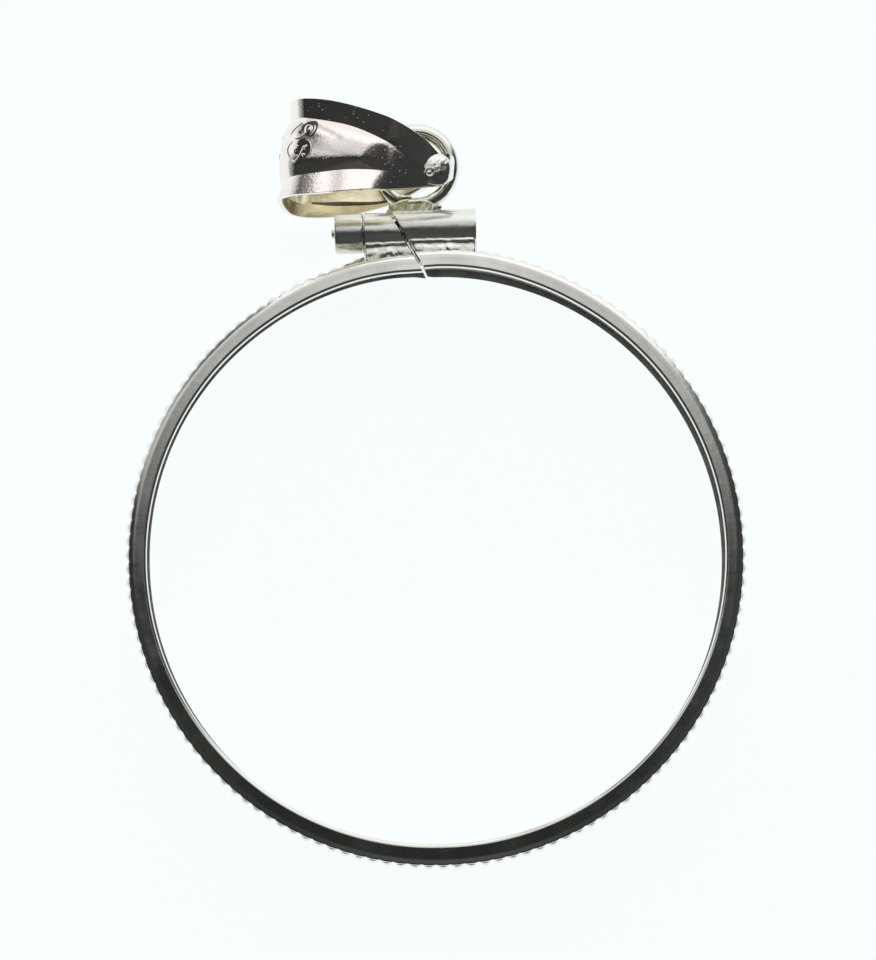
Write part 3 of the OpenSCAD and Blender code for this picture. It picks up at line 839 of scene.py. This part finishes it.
def bail_points(sizes, path, across, offset):
    """Points of the strip. across counts from -2 to 2: the panel lies within -1 and 1 and the flanges
    beyond. offset is from the sheet's middle. The rise of panel and flanges, the twist near the eye and the
    panel's tilt add to it along the strip's outward direction. v is the distance across from the strip's
    middle, and both plates' ends at the eye are shifted aside by the square of their nearness to it."""
    u, w, a, front = path
    half, panel, aside, behind = panel_edges(sizes, path)
    shift_back = TIP_SHIFT * np.maximum(0, 1 - (u + EYE_R) / TIP_FADE) ** 2
    shift_front = np.where(u > 0, EYE_SHIFT * np.maximum(0, 1 - u / EYE_FADE) ** 2,
                           TIP_SHIFT + (EYE_SHIFT - TIP_SHIFT) * (1 + u / EYE_R))
    shift = np.where(front > 0.5, shift_front, shift_back)
    s = np.clip(across, -1, 1)
    middle = s * panel + aside
    v = middle + np.maximum(np.abs(across) - 1, 0) * (np.sign(across) * half - middle)
    twist = -math.tan(math.radians(EYE_TWIST)) * (1 - ramp(u, *TWIST_END_AT)) * front * smooth_step(u)
    tilt = math.tan(math.radians(PANEL_TILT)) * ramp(u, *TILT_AT) * (1 - behind)
    out = (offset + panel_rise(u, s, panel, behind) + flange_rise(u, across, v - aside, panel, front, behind)
           + twist * v + tilt * np.clip(v - aside, -panel, panel))
    v = v + BACK_WIDER * behind * ramp(u, *BACK_WIDER_AT) * np.maximum(0, across) / 2
    v = v + FRONT_WIDER * ramp(u, *FRONT_WIDER_AT) * np.minimum(0, across + 1)
    return np.stack([u + out * np.cos(a), v + shift, w + out * np.sin(a)], -1)


# Places across the strip's outline: of the flange past the panel's edge and of the panel on the outer face,
# and from the edge to the middle on the inner one. Then the rounding of the strip's edges in mm.
FLANGE_PLACES = (0.985, 0.94, 0.8, 0.6, 0.4, 0.2, 0.08, 0.03)
PANEL_PLACES = (0.985, 0.94, 0.86, 0.74, 0.6, 0.42, 0.22)
INNER_PLACES = (1.985, 1.8, 1.6, 1.4, 1.2, 1.08, 1, 0.94, 0.8, 0.6, 0.3)
STRIP_SOFT = 0.05


def bail_shell(sizes):
    """The strip: its outline, once across the outer face, round one edge, back across the inner face and
    round the other edge, is carried along the strip's side view."""
    t = sizes.sheet_t / 2
    flange, panel, inner = np.array(FLANGE_PLACES), np.array(PANEL_PLACES), np.array(INNER_PLACES)
    outer = np.concatenate([-1 - flange, [-1], -panel, [0], panel[::-1], [1], 1 + flange[::-1]])
    inner = np.concatenate([inner, [0], -inner[::-1]])
    # Each corner of the strip's edge is rounded by two places
    edge = np.array([1.997, 2, 2, 1.997])
    edge_out = np.array([t - STRIP_SOFT * 0.35, t - STRIP_SOFT, -t + STRIP_SOFT, -t + STRIP_SOFT * 0.35])
    across = np.concatenate([outer, edge, inner, -edge])
    offset = np.concatenate([t + 0 * outer, edge_out, -t + 0 * inner, edge_out[::-1]])
    place = np.arange(len(across)) - len(outer) - len(edge)
    inside = (place >= -1) & (place < len(inner))
    path = [part[:, None] for part in bail_path(sizes)]
    # Painted shade inside: a dark band along the foot of the lower flange, which tapers to its end before the
    # fold
    foot = inside & (across > 0.99) & (across < 1.21)
    crease = foot & (path[0] < CREASE_END)
    taper = ramp(path[0], CREASE_TAPER, CREASE_END - CREASE_TAPER) * (path[3] < 0.5)
    across = across + (1 - across) * foot * taper
    points = placed(sizes, bail_points(sizes, path, across, offset[None, :]))
    return swept(points, closed=True, marks=inside + 1 * crease)


# Solder pad on the front of the eye, in the bail's frame: its middle and half sizes, its tilt in degrees,
# and the power of its roundness. Then its pit: place on the pad, radius, depth, and the height and width of
# its brim.
PAD_MIDDLE, PAD_HALF, PAD_TILT, PAD_POWER = (0.32, 0.6, 1.0), (0.98, 1.1, 0.44), -15.0, 2.5
PIT_AT, PIT_R, PIT_DEEP, BRIM_H, BRIM_W = (0.5, 0.3), 0.27, 0.15, 0.01, 0.2


def pad_shell(sizes):
    """Solder pad: a flattened superellipsoid with smooth lumps, and a pit in its face. The pit is a bowl of
    its radius with a thin brim, a bell curve round it."""
    way = sphere_way(96, 160)
    points = way / (np.abs(way) ** PAD_POWER).sum(-1, keepdims=True) ** (1 / PAD_POWER) * PAD_HALF
    lumps = 0.02 * ripple(points, 1.2, 40, 2) + 0.007 * ripple(points, 0.4, 41, 2)
    far = np.hypot(points[..., 0] - PIT_AT[0], points[..., 1] - PIT_AT[1]) / PIT_R
    pit = BRIM_H * np.exp(-((far - 1) / BRIM_W) ** 2) - PIT_DEEP * smooth_step((1 - far) * 3.5)
    points = points + way * lumps[..., None]
    points[..., 2] += np.where(way[..., 2] > 0, pit, 0)
    tilt = np.array(Matrix.Rotation(math.radians(PAD_TILT), 3, "Y"))
    return swept(placed(sizes, (points + PAD_MIDDLE) @ tilt.T))


class OBJECT_OT_bezel_bail(bpy.types.Operator):
    """Makes the folded strip of the bail and the solder pad on its eye"""

    bl_idname = "object.bezel_bail"
    bl_label = "Bail"

    def execute(self, context):
        sizes = millimetres()
        colours = context.scene.bezel_colours
        # Stamped, folded and buffed silver sheet: a near mirror, with orange peel from the stamping and a
        # few pits
        buffed = silver_finish("stamped_buffed_silver", colours.bail_silver,
                               (0.07, 0.13), (0.22, 8), (0.06, 1.5), 0.95, pits=7)
        # Its inside as it left the pickle, which the buff doesn't reach: frosted, under a thin yellow film
        frosted = silver_finish("pickled_yellowed_silver", colours.tarnish,
                                (0.18, 0.3), (0.4, 8), (0.07, 1.5), 0.9)
        # Painted shade of the crease inside: dark grey with brighter grains
        crease = silver_finish("oxidised_crease_silver", shade(colours.tarnish, 0.22)[:3],
                               (0.3, 0.45), (0.12, 14), (0.05, 4), 0.4)
        finishes = [buffed, frosted, crease]
        bail = make_piece("bail_strip", [bail_shell(sizes)], "bail", finishes, 30)
        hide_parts("bail")
        # Solder that froze on the eye and was buffed with it: a soft mirror with small dents
        finish = silver_finish("buffed_solder", colours.tube_silver,
                               (0.08, 0.15), (0.35, 9), (0.09, 1.6), 0.92)
        make_piece("bail_solder_pad", [pad_shell(sizes)], "bail", [finish], 60)
        return {"FINISHED"}


# Stamped scrolls on the fold, in mm along the strip from the fold's end and across it. All of them lie this
# much further from the fold's end than the tables say
SCROLL_SHIFT = 0.18
# Lines: half thickness, 1 where it is a dark line of painted shade beside the relief, and the points that a
# cubic curve fits
LINES = (
    (0.07, 1, ((2.05, -1.74), (1.67, -1.36), (1.44, -1.06), (1.42, -0.8))),
    (0.1, 0, ((1.5, -0.66), (1.72, -0.56), (1.97, -0.56), (2.15, -0.74), (2.29, -1.08))),
    (0.06, 1, ((1.96, -1.04), (2.1, -1.26), (2.26, -1.46), (2.41, -1.68))),
    (0.1, 0, ((2.32, -0.86), (2.24, -1.1), (2.28, -1.38), (2.45, -1.44))),
    (0.09, 0, ((2.45, -1.44), (2.63, -1.34), (2.66, -1.1), (2.58, -0.92))),
    (0.08, 0, ((2.78, -1.48), (2.86, -1.2), (2.78, -0.92), (2.6, -0.72))),
    (0.08, 1, ((1.7, -0.46), (1.42, -0.18), (1.31, 0.06), (1.36, 0.42), (1.61, 0.8))),
    (0.1, 0, ((1.66, 0.9), (1.85, 0.95), (2.04, 0.84), (2.19, 0.54), (2.21, 0.14), (2.29, -0.02))),
    (0.06, 0, ((2.36, -0.44), (2.62, -0.32), (2.78, 0.05), (2.76, 0.4), (2.6, 0.68))),
    (0.05, 1, ((0.65, -1.02), (0.45, -0.95), (0.35, -0.92), (0.25, -0.88))),
    (0.06, 1, ((0.24, 0.0), (0.2, 0.16), (0.2, 0.32), (0.24, 0.48))),
)
# Spots: half sizes, height, 1 where it is a dark patch of painted shade, and the middle
SPOTS = (
    ((0.5, 0.6), 0.012, 1, (2.55, -1.26)), ((0.48, 0.68), 0.012, 1, (2.34, 0.12)),
    ((0.1, 0.13), 0.02, 1, (1.96, -1.0)), ((0.12, 0.2), 0.02, 1, (1.88, 0.34)),
    ((0.1, 0.13), 0.1, 0, (2.5, -1.16)), ((0.09, 0.11), 0.1, 0, (1.93, 0.02)),
    ((0.12, 0.15), 0.11, 0, (2.43, 0.05)), ((0.14, 0.14), 0.12, 0, (2.34, 0.62)),
)
# How far a dark line of painted shade and a pale line sink into the face, as shares of their half thickness,
# how deep a spot's foot goes in mm, and how uneven a dark spot's outline is
LINE_SINK, SPOT_FOOT, SPOT_UNEVEN = {1: 0.7, 0: 0.3}, 0.06, 0.08


def on_fold(sizes, along, across, out):
    """Points over the outer face of the fold, in the bail's frame: out is the distance from it."""
    path = bail_path(sizes)
    place = np.concatenate([[0], np.cumsum(np.hypot(np.diff(path[0]), np.diff(path[1])))])
    place = place[np.flatnonzero(path[2] == 0)[0]] - place
    row = [np.interp(-along - SCROLL_SHIFT, -place, part) for part in path]
    row[3] = np.ones_like(along)
    _, panel, aside, _ = panel_edges(sizes, row)
    return bail_points(sizes, row, np.clip((across - aside) / panel, -0.99, 0.99), sizes.sheet_t / 2 + out)


def relief_line(sizes, thick, dark, line):
    """Line of stamped relief, and a dark one is painted shade beside the relief. It is a round wire along a
    cubic curve, part sunk in the face. Its section is a circle across the curve's direction, and it thins
    towards both ends by the root of a sine."""
    t = np.linspace(0, 1, 40)
    knots = np.linspace(0, 1, len(line))
    along, across = (np.polyval(np.polyfit(knots, part, 3), t) for part in np.array(line).T)
    foot = on_fold(sizes, along, across, 0)
    up = on_fold(sizes, along, across, 0.1) - foot
    up /= np.linalg.norm(up, axis=1, keepdims=True)
    way = np.gradient(foot, axis=0)
    way /= np.linalg.norm(way, axis=1, keepdims=True)
    radius = thick * (0.5 + 0.5 * np.sin(math.pi * t[:, None]) ** 0.5)
    turn = np.linspace(0, math.tau, 14, endpoint=False)[None, :, None]
    ring = up[:, None] * np.cos(turn) + np.cross(way, up)[:, None] * np.sin(turn)
    points = foot[:, None] - thick * LINE_SINK[dark] * up[:, None] + radius[:, :, None] * ring
    return swept(placed(sizes, points), marks=dark)


def relief_spot(sizes, reach, height, dark, middle):
    """Spot of stamped relief, and a dark one is a patch of painted shade. It is a half ellipsoid on the face
    over a shallow foot, and a dark spot's outline is uneven by a sine of three waves."""
    t = np.linspace(0, math.pi, 16)[1:-1, None]
    turn = np.linspace(0, math.tau, 40, endpoint=False)[None, :]
    wide = np.sin(t) * (1 + SPOT_UNEVEN * dark * np.sin(3 * turn + middle[0] * 9))
    out = np.where(np.cos(t) > 0, height, SPOT_FOOT) * np.cos(t) + 0 * turn
    along, across = middle[0] + reach[0] * wide * np.cos(turn), middle[1] + reach[1] * wide * np.sin(turn)
    return swept(placed(sizes, on_fold(sizes, along, across, out)), marks=dark)


class OBJECT_OT_bezel_scrolls(bpy.types.Operator):
    """Makes the stamped scrolls on the bail's fold"""

    bl_idname = "object.bezel_scrolls"
    bl_label = "Scrolls"

    def execute(self, context):
        sizes = millimetres()
        colours = context.scene.bezel_colours
        shells = [relief_line(sizes, *line) for line in LINES]
        shells += [relief_spot(sizes, *spot) for spot in SPOTS]
        # Stamped relief of the same sheet, buffed less than the plates: a little duller, with a finer peel
        raised = silver_finish("stamped_relief_silver", colours.bail_silver,
                               (0.08, 0.14), (0.2, 3), (0.05, 0.6))
        # Painted shade of its recesses: dark brown
        hollow = silver_finish("oxidised_relief_hollows", shade(colours.tarnish, 0.1)[:3],
                               (0.25, 0.4), (0.15, 8), (0.05, 3), 0.6)
        make_piece("bail_scrolls", shells, "bail", [raised, hollow], 60)
        return {"FINISHED"}


# Camera as it stood for the photograph, in mm and degrees: what it looks at, how far, how high and how
# turned. Then its focal length and the picture's long side in pixels, and the sensor's width in mm.
AIM, CAMERA_FAR, CAMERA_UP, CAMERA_TURN = (0.272, 4.975, 0), 155, 84.3, 1.4
FOCAL_PX, LONG_SIDE_PX, SENSOR_W = 2360, 960, 36


def set_camera():
    """Camera on a sphere round its aim, turned about its own line of sight."""
    up = math.radians(CAMERA_UP)
    back = Vector((0, -math.cos(up), math.sin(up)))
    data = bpy.data.cameras.new("camera")
    data.sensor_width = SENSOR_W
    data.lens = SENSOR_W * FOCAL_PX / LONG_SIDE_PX
    data.clip_start, data.clip_end = 0.005, 10
    camera = bpy.data.objects.new("camera", data)
    bpy.context.scene.collection.objects.link(camera)
    turn = Matrix.Rotation(math.radians(-CAMERA_TURN), 4, "Z")
    look = (-back).to_track_quat("-Z", "Y").to_matrix().to_4x4() @ turn
    camera.matrix_world = Matrix.Translation((Vector(AIM) + back * CAMERA_FAR) * MM) @ look
    bpy.context.scene.camera = camera


# Half width of the floor in metres, its distance below the ring's back, and the strength of its own glow
FLOOR_HALF, FLOOR_GAP, FLOOR_GLOW = 0.6, 0.00002, 0.965

# The room's light by parts. Each has its brightness by distance from the zenith, then its share by
# direction from +Y towards +X, both in degrees, and a tone where it isn't white. Beyond its ends a table
# goes on as it ends.

# Soft box beyond the bail, from near the zenith to the floor
SOFT_BOX = (((0, 0), (3.5, 0.02), (5.5, 0.14), (7.5, 0.26), (10, 0.4), (12, 0.48), (18, 0.52), (27, 0.6),
             (36, 0.74), (44, 0.95), (62, 0.95), (76, 0.86), (90, 0.8)),
            ((-62, 0), (-52, 0.12), (-42, 0.15), (-34, 1), (42, 1), (47, 0.9), (52, 0.35), (58, 0.08),
             (72, 0.02), (180, 0)))
# What the soft box lacks: a dimmer bar that stands in it, and its lower left part. Their tones are what is
# taken away, so what remains is reddish.
BAR = (((34, 0), (38, 1)), ((-22, 0), (-19, 1), (-14, 1), (-12, 0)), (0.38, 0.42, 0.42))
EDGE = (((40, 0), (46, 1)), ((-46, 0), (-40, 1), (-32, 1), (-28, 0)), (0.83, 0.85, 0.86))
# Low strip of light on the left, and a tall one in it that comes up from the floor to near the zenith
LOW_STRIP = (((66, 0), (78, 0.4), (90, 0.5)), ((-120, 0), (-90, 0.6), (-60, 1), (-38, 1), (-34, 0)))
LEFT_STRIP = (((10, 0), (16, 0.4)), ((-80, 0), (-73, 0.04), (-66, 1), (-56, 0.8), (-48, 0.1), (-42, 0)))
# Dim wall between that strip and the soft box
SIDE_WALL = (((8, 0), (12, 0.12), (16, 0.28), (27, 0.42), (34, 0.45), (42, 0.2), (46, 0)),
             ((-60, 0), (-52, 1), (-44, 1), (-35, 0)))
# The pale sheet round the object, which shines back from near the floor, except under the soft box
PALE_SHEET = (((76, 0), (82, 0.2), (90, 0.3)),
         ((-180, 1), (-120, 1), (-90, 0.4), (-62, 0.2), (-34, 0), (50, 0), (75, 1), (180, 1)))
# Brighter core of the soft box near the zenith
CORE = (((7, 0), (9, 0.18), (14, 0.22), (20, 0.1), (30, 0)),
        ((-18, 0), (-10, 0.5), (-2, 1), (5, 1), (13, 0.2), (20, 0)))
# Faint light from the room on the camera's side
FRONT = (((7.5, 0), (11, 0.03), (20, 0.045), (55, 0.045), (70, 0)),
         ((-165, 1), (-150, 0.4), (-95, 0.35), (-75, 0), (75, 0), (95, 0.3), (150, 0.35), (165, 1)))
# The dark room elsewhere, the strength of it all, and the plain grey that the camera sees past the floor
ROOM, LIGHT_STRENGTH, BEHIND = (0.016, 0.018, 0.0165, 1), 1.18, (0.9, 0.93, 0.93, 1)


def lobe(tree, polar, turn, heights, widths, tone=(1, 1, 1)):
    """Light from a part of the room: its brightness by distance from the zenith times its share by
    direction, as the tables above give them."""
    colours = []
    for value, span, start, stops in ((polar, 180, 0, heights), (turn, 360, -180, widths)):
        node = add_node(tree, "ShaderNodeValToRGB", inputs={"Fac": value})
        points = node.color_ramp.elements
        while len(points) < len(stops):
            points.new(1)
        for point, (angle, share) in zip(points, stops):
            point.position = (angle - start) / span
            point.color = [c * share for c in tone] + [1]
        tone = (1, 1, 1)
        colours.append(node.outputs["Color"])
    return blended(tree, "MULTIPLY", *colours)


def blended(tree, way, a, b):
    """Sum or product of two colours, as way says."""
    return add_node(tree, "ShaderNodeMix", {"data_type": "RGBA", "blend_type": way},
                    {"Factor": 1.0, "A": a, "B": b}).outputs["Result"]


def studio_light(scene):
    """World light by direction: a tall soft box beyond the bail, with a dimmer bar in it, strips of light
    on the left, the pale sheet's shine and a dark room elsewhere. The camera sees plain pale grey."""
    world = bpy.data.worlds.new("studio")
    scene.world = world
    world.use_nodes = True
    tree = world.node_tree
    tree.nodes.clear()
    way = add_node(tree, "ShaderNodeTexCoord").outputs["Generated"]
    axes = add_node(tree, "ShaderNodeSeparateXYZ", inputs={"Vector": way}).outputs
    angle = add_node(tree, "ShaderNodeMath", {"operation": "ARCCOSINE"}, {0: axes["Z"]}).outputs[0]
    polar = add_node(tree, "ShaderNodeMath", {"operation": "DIVIDE"}, {0: angle, 1: math.pi}).outputs[0]
    angle = add_node(tree, "ShaderNodeMath", {"operation": "ARCTAN2"},
                     {0: axes["X"], 1: axes["Y"]}).outputs[0]
    turn = add_node(tree, "ShaderNodeMath", {"operation": "MULTIPLY_ADD"},
                    {0: angle, 1: 1 / math.tau, 2: 0.5}).outputs[0]
    missing = blended(tree, "ADD", lobe(tree, polar, turn, *BAR), lobe(tree, polar, turn, *EDGE))
    kept = add_node(tree, "ShaderNodeInvert", inputs={"Fac": 1.0, "Color": missing}).outputs["Color"]
    light = blended(tree, "MULTIPLY", lobe(tree, polar, turn, *SOFT_BOX), kept)
    for part in (LOW_STRIP, LEFT_STRIP, SIDE_WALL, PALE_SHEET, CORE, FRONT):
        light = blended(tree, "ADD", light, lobe(tree, polar, turn, *part))
    light = blended(tree, "ADD", light, ROOM)
    lit = add_node(tree, "ShaderNodeBackground", inputs={"Color": light, "Strength": LIGHT_STRENGTH})
    plain = add_node(tree, "ShaderNodeBackground", inputs={"Color": BEHIND, "Strength": 1.0})
    seen = add_node(tree, "ShaderNodeLightPath").outputs["Is Camera Ray"]
    both = add_node(tree, "ShaderNodeMixShader", inputs={"Fac": seen, 1: lit.outputs[0], 2: plain.outputs[0]})
    add_node(tree, "ShaderNodeOutputWorld", inputs={"Surface": both.outputs[0]})


class OBJECT_OT_bezel_stage(bpy.types.Operator):
    """Makes the pale floor, the soft studio light and the camera"""

    bl_idname = "object.bezel_stage"
    bl_label = "Stage"

    def execute(self, context):
        scene = context.scene
        scene.view_settings.view_transform = "Standard"
        white = scene.bezel_colours.floor_white
        # Plain pale acrylic sheet, lit also from below: it keeps only a faint shadow
        acrylic = bpy.data.materials.new("backlit_white_acrylic")
        acrylic.use_nodes = True
        looks = {"Base Color": shade(white, 0.1), "Roughness": 0.9, "Specular IOR Level": 0.0,
                 "Emission Color": (*white, 1), "Emission Strength": FLOOR_GLOW}
        for name, value in looks.items():
            acrylic.node_tree.nodes["Principled BSDF"].inputs[name].default_value = value
        half, z = FLOOR_HALF, -millimetres().ring_h / 2 * MM - FLOOR_GAP
        mesh = bpy.data.meshes.new("floor")
        mesh.from_pydata([(-half, -half, z), (half, -half, z), (half, half, z), (-half, half, z)], [],
                         [(0, 1, 2, 3)])
        mesh.materials.append(acrylic)
        floor = bpy.data.objects.new("floor", mesh)
        scene.collection.objects.link(floor)
        studio_light(scene)
        set_camera()
        return {"FINISHED"}


class VIEW3D_PT_coin_bezel(bpy.types.Panel):
    """Sizes, colours and pieces of the coin bezel"""

    bl_label = "Coin Bezel"
    bl_space_type = "VIEW_3D"
    bl_region_type = "UI"
    bl_category = "Coin Bezel"

    def draw(self, context):
        column = self.layout.column()
        for group in (context.scene.bezel_sizes, context.scene.bezel_colours):
            for prop in group.bl_rna.properties:
                if prop.identifier not in {"rna_type", "name"}:
                    column.prop(group, prop.identifier)
        for operator in OPERATORS:
            column.operator(operator.bl_idname)


OPERATORS = (
    OBJECT_OT_bezel_ring, OBJECT_OT_bezel_tube, OBJECT_OT_bezel_solder, OBJECT_OT_bezel_loop,
    OBJECT_OT_bezel_screw, OBJECT_OT_bezel_bail, OBJECT_OT_bezel_scrolls, OBJECT_OT_bezel_stage,
)
CLASSES = (BezelSizes, BezelColours, *OPERATORS, VIEW3D_PT_coin_bezel)


def register():
    for cls in CLASSES:
        bpy.utils.register_class(cls)
    bpy.types.Scene.bezel_sizes = PointerProperty(type=BezelSizes)
    bpy.types.Scene.bezel_colours = PointerProperty(type=BezelColours)


def unregister():
    del bpy.types.Scene.bezel_sizes
    del bpy.types.Scene.bezel_colours
    for cls in reversed(CLASSES):
        bpy.utils.unregister_class(cls)


def main():
    register()
    for operator in OPERATORS:
        group, name = operator.bl_idname.split(".")
        getattr(getattr(bpy.ops, group), name)()


if __name__ == "__main__":
    main()
